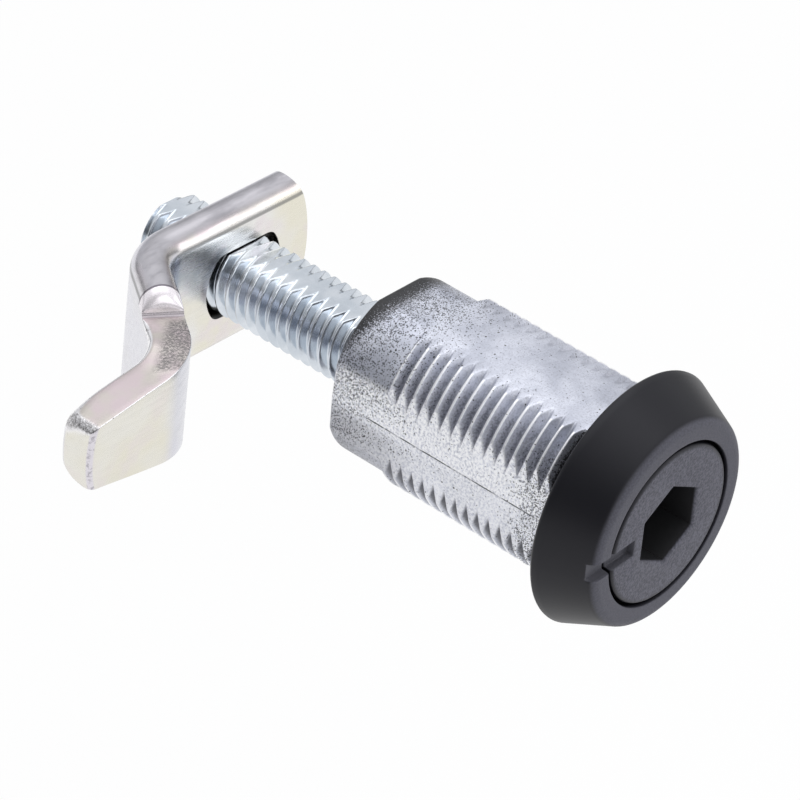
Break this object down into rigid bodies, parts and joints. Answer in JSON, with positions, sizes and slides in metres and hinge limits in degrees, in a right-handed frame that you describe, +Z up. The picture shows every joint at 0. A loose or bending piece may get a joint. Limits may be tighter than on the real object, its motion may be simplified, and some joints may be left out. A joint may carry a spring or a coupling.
{
  "type": "compression latch",
  "caption": "Vise action compression latch: a conical head with hex drive, a threaded barrel with flats, and a joggled pawl on a threaded spindle that swings behind a frame and pulls in.",
  "frame": {"origin": "on the latch axis, in the plane of the head's rear face that seats on the panel", "axes": "+Y along the axis into the panel, from head to pawl; +Z up; the pawl points to -X at rest"},
  "size_m": [0.0519, 0.0709, 0.029],
  "materials": {
    "housing": "zinc die casting, bare grainy barrel and satin black coated head",
    "drive_plug": "fine textured satin black coating on zinc",
    "plug_o_ring": "matte black",
    "plug_retaining_ring": "phosphated spring steel",
    "return_spring": "drawn spring steel",
    "spindle": "bright blue zinc plated steel",
    "cross_pin": "ground steel",
    "guide_bush": "plain zinc",
    "bush_retaining_ring": "phosphated spring steel",
    "pawl": "zinc plated steel strip with a faint yellow and pink sheen"
  },
  "bodies": {
    "housing": {"housing": "housing", "bush_retaining_ring": "bush_retaining_ring"},
    "guide": {"guide_bush": "guide_bush"},
    "plug": {"drive_plug": "drive_plug", "plug_o_ring": "plug_o_ring", "plug_retaining_ring": "plug_retaining_ring", "return_spring": "return_spring"},
    "spindle": {"spindle": "spindle", "cross_pin": "cross_pin"},
    "pawl": {"pawl": "pawl"}
  },
  "joints": [
    {"name": "pawl_swing", "type": "hinge", "parent": "housing", "child": "guide", "pos_m": [0, 0, 0], "axis": [0, 1, 0], "range_deg": [0, 90]},
    {"name": "drive_turn", "type": "hinge", "parent": "guide", "child": "plug", "pos_m": [0, 0, 0], "axis": [0, 1, 0], "range_deg": [0, 180]},
    {"name": "pull_up", "type": "slide", "parent": "guide", "child": "spindle", "axis": [0, -1, 0], "range_m": [0, 0.006], "deforming": ["return_spring"]},
    {"name": "grip_adjust", "type": "slide", "parent": "spindle", "child": "pawl", "axis": [0, -1, 0], "range_m": [-0.005, 0.013]}
  ],
  "couplings": [
    {"joint": "drive_turn", "follows": "pull_up", "rad_per_m": 523.6}
  ]
}
